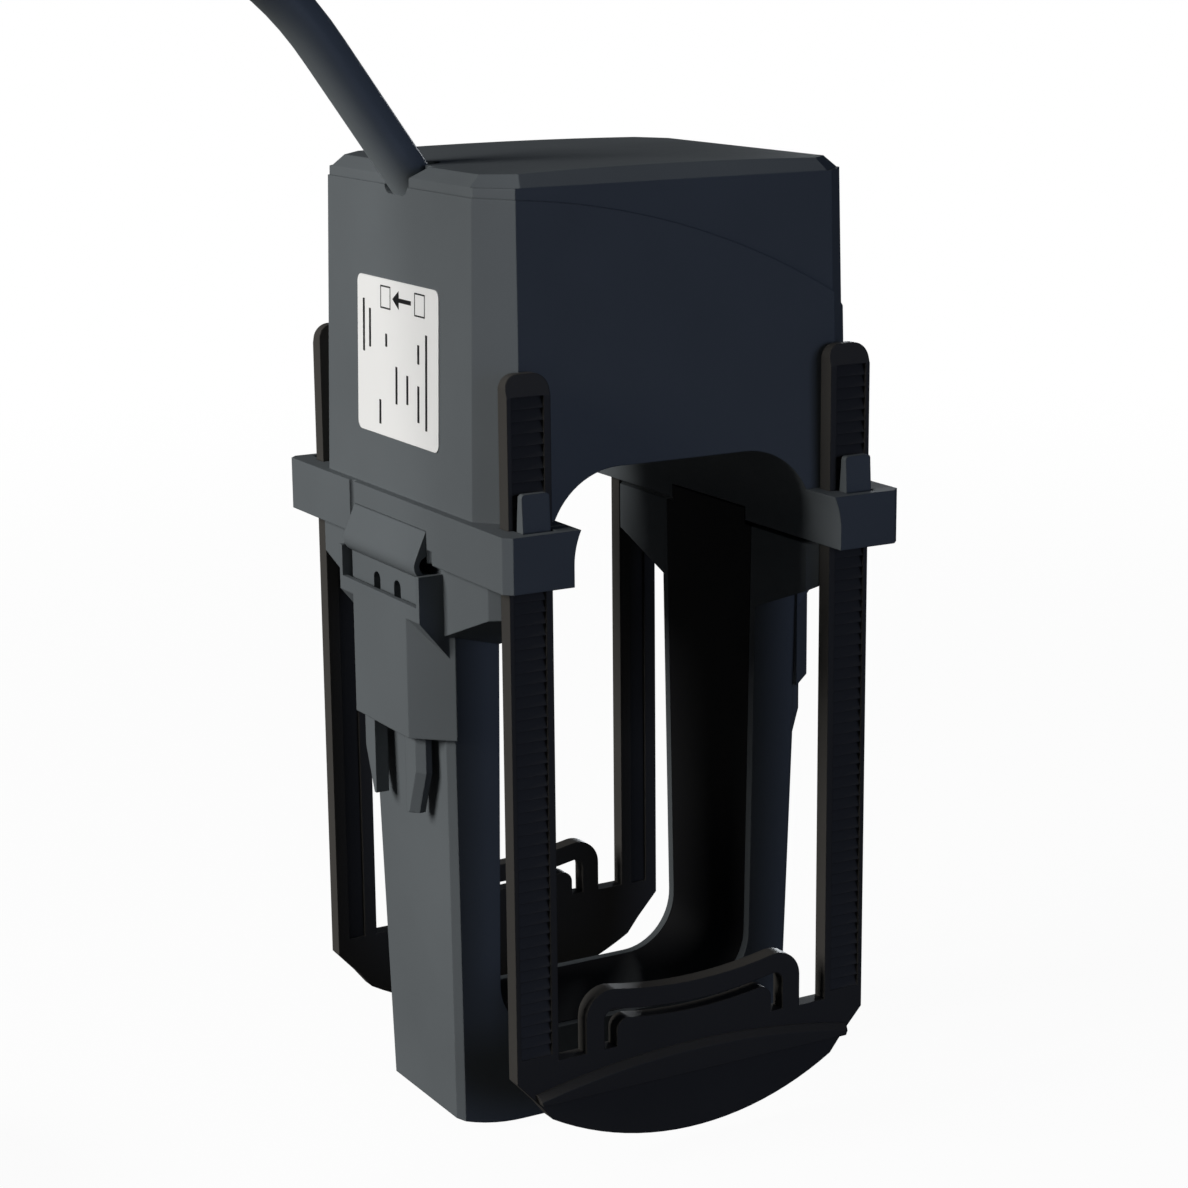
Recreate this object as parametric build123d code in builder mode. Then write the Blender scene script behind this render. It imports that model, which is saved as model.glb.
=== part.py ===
from build123d import *
import os
from math import acos, atan2, cos, degrees, pi, radians, sin, sqrt, tan

os.makedirs("parts", exist_ok=True)

# Split-core current transformer: a head with collar and ears, a pull-off yoke and two ratchet brackets.
# Millimetres. X runs across the conductor window, Y along the conductor, Z up.
# The origin is on the surface that the yoke stands on, in the middle of the window.

# Conductor window
window_width = 42.0
window_height = 85.15
window_top_radius = 11.0
window_bottom_radius = 8.5
window_sill = 13.0
arch_rise = 13.85
parting_z = window_sill + window_height - arch_rise

# Head housing, drafted upwards from the parting plane
housing_width = 59.96
housing_depth = 55.26
housing_height = 52.7
housing_draft = 1.34
housing_chamfer = 4.9
wall = 1.4
head_floor = 2.0
top_bevel_in = 1.6
top_bevel_down = 1.45
crown_rise = 0.55

# Joint line between shell and cover: an arc, seen from the front
seam_radius = 113.0
seam_centre_x = -32.0
seam_centre_drop = 63.0
seam_step = 0.22
lip_height = 3.0
lip_thickness = 1.0

# Collar with its four ears
collar_step = 1.1
ear_reach = 6.91
collar_height = 7.55
collar_chamfer = 1.1

# Relief grooves in the collar's sides, beside the latch
relief_radius = 0.7
relief_front_height = 1.9
relief_rear_low = 2.4

# Fits
running_gap = 0.12
seat_gap = 0.1

# Brackets
bracket_thickness = 2.43
bracket_gap = 0.25
arm_width = 6.44
arm_spread = 50.36
arm_rise = 27.8
arm_tip_radius = 2.0
arm_tip_bevel = 1.0
arm_tip_bevel_height = 2.9
bracket_drop = 81.95
bracket_corner_drop = 69.6
bracket_shoulder_drop = 67.35
bracket_heel_x = 25.0
bracket_heel_drop = 73.3
bracket_bow_x = 23.0
bracket_bow_drop = 75.8
groove_width = 2.6
groove_depth = 0.5

# Rack of each arm: teeth lie between two rims, ledges face down
tooth_pitch = 1.6
tooth_count = 57
tooth_crest_depth = 0.15
tooth_root_depth = 0.85
inner_rim = 1.0
outer_rim = 0.65
travel_teeth = 42
rack_drop = 66.3

# Spring loop in the middle of each bracket
loop_half_width = 17.55
loop_strip = 2.85
loop_top_drop = 60.0
loop_bow_radius = 65.65
loop_outer_radius = 3.9
loop_inner_radius = 1.5
loop_slot = 1.35
loop_side_slot = 2.0
loop_side_slot_drop = 67.3
tab_corner_radius = 1.75
shoulder_radius = 1.0

# Raised rib across each bracket
rib_height = 1.2
rib_low_drop = 73.1
rib_end_x = 25.6
rib_end_rise = 1.5
rib_end_drop = rib_low_drop - rib_end_rise
rib_bow_rise = 4.2
rib_top_drop = rib_low_drop - rib_bow_rise
rib_bevel = 0.9

# Ratchet pawls
pawl_width = 4.1
pawl_rise = 12.5
pawl_front_gap = 2.1
pawl_back_gap = 0.2
pawl_top_thickness = 1.0
pawl_lean = 0.6
pawl_foot_radius = 0.7
pawl_foot_rise = 1.4
pawl_tooth_rise = 5.6
pawl_tooth_depth = 0.62
pawl_pocket_depth = 2.9
pawl_side_gap = 0.35
pawl_corner_radius = 0.5

# Yoke: housing, liner and core
leg_inset = 0.64
leg_depth = 13.27
leg_width_draft = 0.0205
leg_depth_draft = 0.028
base_flat_half = 17.3
base_edge_rise = 2.0
leg_corner_chamfer = 1.0
tongue_rise = 1.8
tongue_half_depth = 10.0
core_thickness = 3.8
core_half_depth = 9.2
core_corner_radius = 2.5
core_meeting_rise = 1.0
air_gap = 0.05

# Flanges at the top of the yoke's legs
flange_side_gap = 0.65
flange_top_gap = 0.6
flange_outer_low = 4.8
flange_inner_low = 7.0
flange_root_low = 10.0
flange_chamfer = 1.3

# Latch on each side
tunnel_reach = 3.72
tunnel_face_half = 8.5
tunnel_root_half = 12.1
tunnel_low = 25.13
tunnel_wall = 0.8
cheek_half = 12.8
cheek_wall = 0.9
cheek_top = 1.5
cheek_low_outer = 8.0
cheek_low_inner = 12.5
tunnel_top = 5.95
clip_half_width = 11.4
clip_gap = 0.56
clip_plate_thickness = 1.0
clip_plate_low = 7.6
barrel_bulge = 1.92
barrel_top_rise = 1.7
barrel_low = 2.4
barrel_wall = 0.8
fairing_rise = 4.5
prong_gap = 0.36
prong_thickness = 2.0
prong_inner = 5.0
prong_outer = 9.2
prong_bevel = 1.1
prong_low = 36.8
prong_taper_low = 30.5
prong_tip_outer = 6.8
hole_half_pitch = 3.25
hole_width = 2.1
hole_low = 7.3
hole_high = 3.9

# Winding
bar_low = 22.5
bobbin_wall = 0.8
bobbin_half_length = 19.0
bobbin_flange = 1.2
winding_height = 5.0
flange_margin = 0.5
spring_thickness = 0.4
spring_rise = 3.0
spring_half_length = 16.0
spring_width = 8.0
post_width = 6.0

# Label
label_thickness = 0.15
label_width = 25.3
label_height = 21.86
label_low = 15.2
label_centre_y = -0.45
label_radius = 1.2

# Cable and its notch
cable_diameter = 6.2
cable_slope = 48.4
exit_inset = 8.28
exit_depth = 5.6
notch_depth = 3.9
notch_front = 3.5
notch_rear = 3.7
notch_flare = 7.1
notch_flare_depth = 1.5
notch_radius = 1.5
clamp_length = 7.0
clamp_wall = 1.9
core_wire_diameter = 2.4
core_wire_gap = 0.2
lead_straight = 4.0
lead_spread_run = 9.0
lead_spread_rise = 2.5
pin_half_pitch = 6.5
pin_radius = 0.5
pin_height = 4.0
ferrule_collar_diameter = 3.0
ferrule_collar_length = 6.0
ferrule_diameter = 1.3
ferrule_length = 8.0
section_sides = 8
tie_width = 3.6
tie_thickness = 1.0
tie_slack = 0.5
tie_angle = 80.0
tie_head = 4.5
coil_outer_turn = 35.0

# Sizes that follow from the ones above
collar_width = housing_width + 2 * collar_step
collar_depth = housing_depth + 2 * ear_reach
draft_slope = tan(radians(housing_draft))
half_window = window_width / 2
arm_inner_x = arm_spread / 2 - arm_width / 2
arm_outer_x = arm_spread / 2 + arm_width / 2
bracket_inner_y = housing_depth / 2 + bracket_gap
bracket_face_y = bracket_inner_y + bracket_thickness
strip_inner_x = arm_inner_x + inner_rim
strip_outer_x = arm_outer_x - outer_rim
strip_x = (strip_inner_x + strip_outer_x) / 2
strip_width = strip_outer_x - strip_inner_x
ledge_z = parting_z + pawl_tooth_rise + running_gap
rack_low_z = ledge_z - round((pawl_tooth_rise + rack_drop) / tooth_pitch) * tooth_pitch
rack_high_z = rack_low_z + tooth_count * tooth_pitch
travel = travel_teeth * tooth_pitch
core_inner_x = half_window + wall + seat_gap
core_outer_x = core_inner_x + core_thickness
leg_outer_x = housing_width / 2 - leg_inset
tunnel_face_x = leg_outer_x + tunnel_reach
clip_face_x = tunnel_face_x - tunnel_wall - clip_gap
prong_face_x = tunnel_face_x - tunnel_wall - prong_gap
barrel_x = collar_width / 2 + barrel_bulge
flange_reach = bracket_inner_y - flange_side_gap
barrel_radius = (barrel_top_rise + barrel_low) / 2
barrel_centre = (barrel_x - barrel_radius, parting_z + barrel_top_rise - barrel_radius)
core_meeting_z = parting_z + core_meeting_rise
bar_low_z = parting_z + bar_low
bar_high_z = bar_low_z + core_thickness
bar_middle_z = (bar_low_z + bar_high_z) / 2
roof_z = parting_z + housing_height - wall


def housing_section(inset, z):
    """Octagon of the drafted housing at height z, set in by a wall."""
    shrink = inset + (z - parting_z) * draft_slope
    with BuildSketch(Plane.XY.offset(z)) as section:
        Rectangle(housing_width - 2 * shrink, housing_depth - 2 * shrink)
        chamfer(section.vertices(), housing_chamfer - inset * (2 - sqrt(2)))
    return section.sketch


def housing_block(inset, low, high):
    """Drafted block of the housing between two heights."""
    with BuildPart() as block:
        extrude(housing_section(inset, low), amount=high - low, taper=housing_draft)
    return block.part


def arch_block(grow):
    """Window-shaped block through the whole depth, wider by a wall."""
    high = window_sill + window_height + grow
    with BuildPart() as block:
        with BuildSketch(Plane.XZ) as outline:
            with Locations((0, high / 2)):
                Rectangle(window_width + 2 * grow, high)
            fillet(outline.vertices().group_by(Axis.Y)[-1], window_top_radius + grow)
        extrude(amount=collar_depth, both=True)
    return block.part


def head_void(inset, low, high):
    """Space inside the housing walls and outside the arch's wall."""
    with BuildPart() as void:
        add(housing_block(inset, low, high))
        add(arch_block(wall), mode=Mode.SUBTRACT)
    return void.part


def below_seam(drop=0):
    """Round block whose upper side is the joint line between shell and cover."""
    with BuildPart() as block:
        with BuildSketch(Plane.XZ):
            with Locations((seam_centre_x, parting_z - seam_centre_drop)):
                Circle(seam_radius - drop)
        extrude(amount=collar_depth, both=True)
    return block.part


def notch_block():
    """Slot at the top of the left wall that lets the cable out, with one flared side."""
    top = parting_z + housing_height + crown_rise
    low = parting_z + housing_height - notch_depth
    flare = parting_z + housing_height - notch_flare_depth
    with BuildPart() as block:
        with BuildSketch(Plane.YZ.offset(-housing_width / 2)) as outline:
            with BuildLine():
                Polyline(
                    (-notch_front, low),
                    (notch_rear, low),
                    (notch_rear, top),
                    (-notch_flare, top),
                    (-notch_front, flare),
                    close=True,
                )
            make_face()
            fillet(outline.vertices().group_by(Axis.Y)[0], notch_radius)
        extrude(amount=2 * wall + housing_height * draft_slope)
    return block.part


# Cable out of the clamp: up past the notch and over, as offsets from its exit
cable_exit = (exit_inset - housing_width / 2, 0, parting_z + housing_height - exit_depth)
cable_rise = [
    (-9.4, 0, 10.6),
    (-25.4, 0, 32.1),
    (-45.3, -1.0, 39.2),
    (-66.3, -5.0, 33.8),
    (-81.1, -12.5, 16.9),
]

# Coil of the put-away length: two turns side by side on the floor and part of a third on top
cable_radius = cable_diameter / 2
coil_centre = (cable_exit[0] - 107.9, 14.0)
coil_inner_turn = coil_outer_turn - cable_diameter
coil_top_turn = (coil_outer_turn + coil_inner_turn) / 2
coil_top_z = cable_radius + cable_diameter * sqrt(3) / 2
coil_step = 30
landing_angle = -13.0
top_start_angle = -60.0
tail_start_angle = 149.0
tail_step = 16.0

# Cable down to the coil, as offsets from the coil's middle on the floor
cable_fall = [
    (24.4, -34.0, 119.0),
    (24.0, -41.0, 86.0),
    (24.6, -45.0, 57.0),
    (25.7, -43.6, 37.5),
    (27.1, -38.4, 21.3),
    (29.4, -28.2, 9.2),
    (32.6, -14.5, 3.1),
]


def coil_point(turn_radius, angle, z):
    """Point of the route round the coil, at an angle from the X direction."""
    turn = radians(angle)
    return (coil_centre[0] + turn_radius * cos(turn), coil_centre[1] + turn_radius * sin(turn), z)


cable_route = [cable_exit]
for x, y, z in cable_rise:
    cable_route.append((cable_exit[0] + x, cable_exit[1] + y, cable_exit[2] + z))
for x, y, z in cable_fall:
    cable_route.append((coil_centre[0] + x, coil_centre[1] + y, z))
half_step = coil_step / 2
first_turn_corner = coil_outer_turn / cos(radians(half_step))
cable_route.append(coil_point(first_turn_corner, landing_angle + half_step, cable_radius))
clamp_plane = Plane(
    origin=cable_exit,
    x_dir=(0, 1, 0),
    z_dir=(cos(radians(cable_slope)), 0, -sin(radians(cable_slope))),
)


def route_radii(points):
    """Largest arcs that the runs beside each point allow."""
    radii = []
    for before, here, after in zip(points, points[1:], points[2:]):
        run_in = Vector(*here) - Vector(*before)
        run_out = Vector(*after) - Vector(*here)
        half_turn = radians(run_in.get_angle(run_out)) / 2
        radii.append(0.45 * min(run_in.length, run_out.length) / tan(half_turn))
    return radii


def tube(points, diameter):
    """Round tube along straight runs joined by tangent arcs."""
    radii = route_radii(points)
    with BuildPart() as body:
        with BuildLine() as route:
            FilletPolyline(*points, radius=radii)
        with BuildSketch(Plane(origin=points[0], z_dir=Vector(*points[1]) - Vector(*points[0]))):
            Circle(diameter / 2)
        sweep()
    length = route.wires()[0].length
    share = body.part.volume / (length * pi * diameter**2 / 4)
    print("arc radii", [round(r, 1) for r in radii], "length", round(length, 1), "volume", round(share, 4))
    return body.part


def clamp_bore(extra):
    """Round space of the cable clamp, larger by a gap."""
    with BuildPart() as bore:
        with BuildSketch(clamp_plane):
            Circle(cable_radius + clamp_wall + extra)
        extrude(amount=clamp_length)
    return bore.part


def cable_bore():
    """Sloping way of the cable through the wall and the roof's edge."""
    with BuildPart() as bore:
        with BuildSketch(clamp_plane):
            Circle(cable_radius + 3 * seat_gap)
        extrude(amount=-2 * clamp_length)
    return bore.part


# Head shell: lower housing with collar, ears and the arch over the window
with BuildPart() as head_shell:
    add(housing_block(0, parting_z, parting_z + housing_height))
    add(below_seam(), mode=Mode.INTERSECT)
    with BuildSketch(Plane.XY.offset(parting_z)) as collar_plan:
        Rectangle(collar_width, collar_depth)
        chamfer(collar_plan.vertices(), collar_chamfer)
    extrude(amount=collar_height)
    add(head_void(wall, parting_z + head_floor, parting_z + housing_height), mode=Mode.SUBTRACT)
    add(arch_block(0), mode=Mode.SUBTRACT)
    add(notch_block(), mode=Mode.SUBTRACT)
    add(cable_bore(), mode=Mode.SUBTRACT)
    # Slots for the arms and pockets for the pawls in front of them
    with BuildSketch(Plane.XY.offset(parting_z)):
        with GridLocations(arm_spread, bracket_inner_y + bracket_face_y, 2, 2):
            Rectangle(arm_width + 2 * running_gap, bracket_thickness + 2 * running_gap)
    extrude(amount=collar_height, mode=Mode.SUBTRACT)
    pocket_middle_y = bracket_face_y + pawl_pocket_depth / 2
    foot_z = parting_z + pawl_foot_rise
    with BuildSketch(Plane.XY.offset(foot_z)):
        with GridLocations(2 * strip_x, 2 * pocket_middle_y, 2, 2):
            Rectangle(pawl_width + 2 * pawl_side_gap, pawl_pocket_depth)
    extrude(amount=collar_height, mode=Mode.SUBTRACT)
    foot_y = bracket_face_y + pawl_back_gap + pawl_foot_radius
    for side in (-1, 1):
        with BuildSketch(Plane.YZ.offset(side * strip_x)):
            with Locations((-foot_y, foot_z), (foot_y, foot_z)):
                Circle(pawl_foot_radius + running_gap)
        extrude(amount=pawl_width / 2 + pawl_side_gap, both=True, mode=Mode.SUBTRACT)
    # Openings in the floor for the yoke's tongues
    tongue_slot_outer = core_outer_x + 2 * seat_gap
    with BuildSketch(Plane.XY.offset(parting_z)):
        with GridLocations(half_window + tongue_slot_outer, 0, 2, 1):
            Rectangle(tongue_slot_outer - half_window, 2 * (tongue_half_depth + 2 * seat_gap))
    extrude(amount=head_floor, mode=Mode.SUBTRACT)
    # Seats of the latch clips in the collar's lower edge
    seat_depth = collar_width / 2 - barrel_centre[0] + barrel_wall + running_gap
    with BuildSketch(Plane.XY.offset(parting_z)):
        with GridLocations(2 * (collar_width / 2 - seat_depth / 2), 0, 2, 1):
            Rectangle(seat_depth, 2 * (clip_half_width + running_gap))
    extrude(amount=barrel_top_rise + running_gap, mode=Mode.SUBTRACT)
    # Relief grooves: a low one in front of each clip and a tall one behind it
    relief_y = clip_half_width + 2 * running_gap + relief_radius
    with BuildSketch(Plane.XY.offset(parting_z)):
        with Locations((-collar_width / 2, -relief_y), (collar_width / 2, -relief_y)):
            Circle(relief_radius)
    extrude(amount=relief_front_height, mode=Mode.SUBTRACT)
    with BuildSketch(Plane.XY.offset(parting_z + relief_rear_low)):
        with Locations((-collar_width / 2, relief_y), (collar_width / 2, relief_y)):
            Circle(relief_radius)
    extrude(amount=collar_height, mode=Mode.SUBTRACT)
head_shell.part.label = "head_shell"
export_step(head_shell.part, "parts/head_shell.step")

# Head cover: crowned cap above the joint line, with a lip inside the shell
bevel_z = parting_z + housing_height - top_bevel_down
spring_low_z = bar_middle_z + core_thickness / 2 + seat_gap + bobbin_wall + winding_height + flange_margin
post_low_z = spring_low_z + spring_rise + spring_thickness + seat_gap


def crown_block():
    """Everything under the crowned top."""
    half = housing_width / 2
    edge = parting_z + housing_height
    with BuildPart() as block:
        with BuildSketch(Plane.XZ):
            with BuildLine():
                Polyline((-half, edge), (-half, 0), (half, 0), (half, edge))
                ThreePointArc((half, edge), (0, edge + crown_rise), (-half, edge))
            make_face()
        extrude(amount=housing_depth, both=True)
    return block.part


def cover_lip():
    """Ring that reaches down inside the shell's wall."""
    low = parting_z + head_floor
    with BuildPart() as ring:
        add(housing_block(wall + seat_gap, low, roof_z))
        add(below_seam(lip_height), mode=Mode.SUBTRACT)
        add(housing_block(wall + seat_gap + lip_thickness, low, roof_z), mode=Mode.SUBTRACT)
    return ring.part


with BuildPart() as head_cover:
    extrude(housing_section(seam_step, parting_z), amount=bevel_z - parting_z, taper=housing_draft)
    extrude(
        housing_section(seam_step, bevel_z),
        amount=top_bevel_down + crown_rise,
        taper=degrees(atan2(top_bevel_in, top_bevel_down)),
    )
    add(crown_block(), mode=Mode.INTERSECT)
    add(below_seam(), mode=Mode.SUBTRACT)
    add(housing_block(wall + seat_gap, parting_z, roof_z), mode=Mode.SUBTRACT)
    add(cover_lip())
    # Post over the core spring and cradle over the cable clamp
    with BuildSketch(Plane.XY.offset(post_low_z)):
        Circle(post_width / 2)
    extrude(amount=roof_z - post_low_z)
    with BuildSketch(Plane.XY.offset(cable_exit[2] - clamp_length / 3)):
        with Locations((cable_exit[0] + clamp_length / 2, 0)):
            Rectangle(clamp_length / 2, 2 * (cable_radius + 2 * clamp_wall))
    extrude(amount=roof_z - cable_exit[2] + clamp_length / 3)
    add(clamp_bore(seat_gap), mode=Mode.SUBTRACT)
    add(cable_bore(), mode=Mode.SUBTRACT)
    add(notch_block(), mode=Mode.SUBTRACT)
head_cover.part.label = "head_cover"
export_step(head_cover.part, "parts/head_cover.step")

# Upper core: U of wound strip, open downwards
with BuildPart() as upper_core:
    with BuildSketch(Plane.XZ) as outline:
        with Locations((0, (core_meeting_z + bar_high_z) / 2)):
            Rectangle(2 * core_outer_x, bar_high_z - core_meeting_z)
        fillet(outline.vertices().group_by(Axis.Y)[-1], core_corner_radius + core_thickness)
    extrude(amount=core_half_depth, both=True)
    with BuildSketch(Plane.XZ) as inside:
        with Locations((0, (core_meeting_z + bar_low_z) / 2)):
            Rectangle(2 * core_inner_x, bar_low_z - core_meeting_z)
        fillet(inside.vertices().group_by(Axis.Y)[-1], core_corner_radius)
    extrude(amount=core_half_depth, both=True, mode=Mode.SUBTRACT)
upper_core.part.label = "upper_core"
export_step(upper_core.part, "parts/upper_core.step")

# Bobbin and winding on the core's bar
tube_half_depth = core_half_depth + seat_gap
tube_half_height = core_thickness / 2 + seat_gap
winding_half_length = bobbin_half_length - bobbin_flange
bar_plane = Plane(origin=(0, 0, bar_middle_z), x_dir=(0, 1, 0), z_dir=(1, 0, 0))


def coil_section(grow, radius):
    """Rectangle round the core's bar, larger by a layer, with rounded corners."""
    with BuildSketch(bar_plane) as section:
        Rectangle(2 * (tube_half_depth + grow), 2 * (tube_half_height + grow))
        fillet(section.vertices(), radius)
    return section.sketch


flange_grow = bobbin_wall + winding_height + flange_margin
with BuildPart() as bobbin:
    extrude(coil_section(bobbin_wall, bobbin_wall), amount=bobbin_half_length, both=True)
    for side in (-1, 1):
        with BuildSketch(bar_plane.offset(side * (bobbin_half_length - bobbin_flange / 2))) as flange:
            Rectangle(2 * (tube_half_depth + flange_grow), 2 * (tube_half_height + flange_grow))
            fillet(flange.vertices(), bobbin_flange)
        extrude(amount=bobbin_flange / 2, both=True)
    with BuildSketch(bar_plane):
        Rectangle(2 * tube_half_depth, 2 * tube_half_height)
    extrude(amount=bobbin_half_length, both=True, mode=Mode.SUBTRACT)
bobbin.part.label = "bobbin"
export_step(bobbin.part, "parts/bobbin.step")

with BuildPart() as winding:
    extrude(
        coil_section(bobbin_wall + winding_height, winding_height),
        amount=winding_half_length,
        both=True,
    )
    extrude(
        coil_section(bobbin_wall, bobbin_wall),
        amount=winding_half_length,
        both=True,
        mode=Mode.SUBTRACT,
    )
winding.part.label = "winding"
export_step(winding.part, "parts/winding.step")

# Core spring: bowed leaf between the bobbin's flanges and the cover's post
with BuildPart() as core_spring:
    with BuildSketch(Plane.XZ):
        with BuildLine() as bow:
            ThreePointArc(
                (-spring_half_length - bobbin_flange, spring_low_z),
                (0, spring_low_z + spring_rise),
                (spring_half_length + bobbin_flange, spring_low_z),
            )
            offset(amount=spring_thickness, side=Side.LEFT)
        make_face()
    extrude(amount=spring_width / 2, both=True)
core_spring.part.label = "core_spring"
export_step(core_spring.part, "parts/core_spring.step")

# Cable clamp: sleeve round the cable behind the notch
with BuildPart() as cable_clamp:
    with BuildSketch(clamp_plane):
        Circle(cable_radius + clamp_wall)
    extrude(amount=clamp_length)
cable_clamp.part.label = "cable_clamp"
export_step(cable_clamp.part, "parts/cable_clamp.step")

# Label on the drafted left face
label_middle_z = label_low + label_height / 2
label_plane = Plane(
    origin=(-housing_width / 2 + label_middle_z * draft_slope, label_centre_y, parting_z + label_middle_z),
    x_dir=(0, -1, 0),
    z_dir=(-cos(radians(housing_draft)), 0, sin(radians(housing_draft))),
)
with BuildPart() as rating_label:
    with BuildSketch(label_plane):
        RectangleRounded(label_width, label_height, label_radius)
    extrude(amount=label_thickness)
rating_label.part.label = "rating_label"
export_step(rating_label.part, "parts/rating_label.step")


def dished_face(half_width, low, bow_z, radius):
    """Upright rectangle whose top dips in the middle, with rounded top corners."""
    corner_z = bow_z + half_width**2 / (2 * loop_bow_radius)
    with BuildSketch(Plane.XZ) as face:
        with BuildLine():
            Polyline((-half_width, corner_z), (-half_width, low), (half_width, low), (half_width, corner_z))
            ThreePointArc((half_width, corner_z), (0, bow_z), (-half_width, corner_z))
        make_face()
        fillet(face.vertices().group_by(Axis.Y)[-1], radius)
    return face.sketch


def bracket_plate():
    """Plate between the arms with its bowed lower edge."""
    shoulder = parting_z - bracket_shoulder_drop
    with BuildSketch(Plane.XZ) as face:
        with BuildLine():
            Polyline(
                (-bracket_bow_x, parting_z - bracket_bow_drop),
                (-bracket_heel_x, parting_z - bracket_heel_drop),
                (-arm_outer_x, parting_z - bracket_corner_drop),
                (-arm_outer_x, shoulder),
                (arm_outer_x, shoulder),
                (arm_outer_x, parting_z - bracket_corner_drop),
                (bracket_heel_x, parting_z - bracket_heel_drop),
                (bracket_bow_x, parting_z - bracket_bow_drop),
            )
            ThreePointArc(
                (bracket_bow_x, parting_z - bracket_bow_drop),
                (0, parting_z - bracket_drop),
                (-bracket_bow_x, parting_z - bracket_bow_drop),
            )
        make_face()
    return face.sketch


def rack_cutter(x):
    """Saw-tooth space in the front of an arm: each tooth slopes out downwards to a ledge."""
    crest = -bracket_face_y + tooth_crest_depth
    root = -bracket_face_y + tooth_root_depth
    points = [(-bracket_face_y - 1, rack_low_z), (crest, rack_low_z)]
    for tooth in range(tooth_count):
        points.append((root, rack_low_z + (tooth + 1) * tooth_pitch))
        points.append((crest, rack_low_z + (tooth + 1) * tooth_pitch))
    points.append((-bracket_face_y - 1, rack_high_z))
    with BuildPart() as cutter:
        with BuildSketch(Plane.YZ.offset(x)):
            with BuildLine():
                Polyline(*points, close=True)
            make_face()
        extrude(amount=strip_width / 2, both=True)
    return cutter.part


# Front bracket: ladder frame with two toothed arms, a spring loop and a rib
with BuildPart() as front_bracket:
    back = -bracket_inner_y
    shoulder_z = parting_z - bracket_shoulder_drop
    arm_top_z = parting_z + arm_rise
    loop_top_z = parting_z - loop_top_drop
    slot_low_z = parting_z - loop_side_slot_drop
    extrude(bracket_plate().moved(Location((0, back, 0))), amount=bracket_thickness)
    with BuildSketch(Plane.XZ.offset(-back)) as arms:
        with GridLocations(arm_spread, 0, 2, 1):
            with Locations((0, (shoulder_z + arm_top_z) / 2)):
                Rectangle(arm_width, arm_top_z - shoulder_z)
        fillet(arms.vertices().group_by(Axis.Y)[-1], arm_tip_radius)
    extrude(amount=bracket_thickness)
    loop = dished_face(loop_half_width, shoulder_z - loop_strip, loop_top_z, loop_outer_radius)
    extrude(loop.moved(Location((0, back, 0))), amount=bracket_thickness)
    inner_top_z = loop_top_z - loop_strip
    inside = dished_face(loop_half_width - loop_strip, slot_low_z, inner_top_z, loop_inner_radius)
    extrude(inside.moved(Location((0, back, 0))), amount=bracket_thickness, mode=Mode.SUBTRACT)
    tab = dished_face(
        loop_half_width - loop_strip - loop_side_slot,
        slot_low_z - loop_strip,
        inner_top_z - loop_slot,
        tab_corner_radius,
    )
    extrude(tab.moved(Location((0, back, 0))), amount=bracket_thickness)
    for side in (-1, 1):
        add(rack_cutter(side * strip_x), mode=Mode.SUBTRACT)
        # Lead-in bevel at the tip and lengthwise groove at the back
        with BuildSketch(Plane.YZ.offset(side * arm_spread / 2)):
            with BuildLine():
                Polyline(
                    (-bracket_face_y, arm_top_z),
                    (-bracket_face_y + arm_tip_bevel, arm_top_z),
                    (-bracket_face_y, arm_top_z - arm_tip_bevel_height),
                    close=True,
                )
            make_face()
        extrude(amount=arm_width / 2, both=True, mode=Mode.SUBTRACT)
        with BuildSketch(Plane.XY.offset(shoulder_z)):
            with Locations((side * arm_spread / 2, back)):
                Rectangle(groove_width, 2 * groove_depth)
        extrude(amount=arm_top_z - shoulder_z - 2 * arm_tip_radius, mode=Mode.SUBTRACT)
    # Rib across the front, with a straight lower edge and a bowed upper one
    with BuildSketch(Plane.XZ.offset(bracket_face_y)):
        with BuildLine():
            Polyline(
                (-rib_end_x, parting_z - rib_end_drop),
                (-bracket_heel_x, parting_z - rib_low_drop),
                (bracket_heel_x, parting_z - rib_low_drop),
                (rib_end_x, parting_z - rib_end_drop),
            )
            ThreePointArc(
                (rib_end_x, parting_z - rib_end_drop),
                (0, parting_z - rib_top_drop),
                (-rib_end_x, parting_z - rib_end_drop),
            )
        make_face()
    extrude(amount=rib_height)
    rib_crest = front_bracket.faces().sort_by(Axis.Y)[0].edges().sort_by(Axis.Z)[-1]
    chamfer(rib_crest, rib_bevel)
front_bracket.part.label = "front_bracket"
export_step(front_bracket.part, "parts/front_bracket.step")

with BuildPart() as rear_bracket:
    add(front_bracket.part.mirror(Plane.XZ))
rear_bracket.part.label = "rear_bracket"
export_step(rear_bracket.part, "parts/rear_bracket.step")

# Pawls: one in each ear, hinged at a round foot, with a tooth in the rack
pawl_back_y = bracket_face_y + pawl_back_gap
rack_slope = (tooth_root_depth - tooth_crest_depth) / tooth_pitch
with BuildPart() as pawl_form:
    with BuildSketch(Plane.YZ.offset(strip_x)) as profile:
        with BuildLine():
            top_z = parting_z + pawl_rise
            tip_y = bracket_face_y - pawl_tooth_depth
            tooth_top_z = ledge_z - running_gap
            tooth_low_z = tooth_top_z - (pawl_back_y - tip_y) / rack_slope
            Polyline(
                (pawl_back_y, foot_z),
                (pawl_back_y, tooth_low_z),
                (tip_y, tooth_top_z),
                (pawl_back_y, tooth_top_z),
                (pawl_back_y + pawl_lean, top_z),
                (pawl_back_y + pawl_lean + pawl_top_thickness, top_z),
                (bracket_face_y + pawl_front_gap, parting_z + collar_height),
                (foot_y + pawl_foot_radius, foot_z),
                close=True,
            )
        make_face()
        with Locations((foot_y, foot_z)):
            Circle(pawl_foot_radius)
    extrude(amount=pawl_width / 2, both=True)
    fillet(pawl_form.faces().sort_by(Axis.Z)[-1].edges().filter_by(Axis.Y), pawl_corner_radius)
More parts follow.
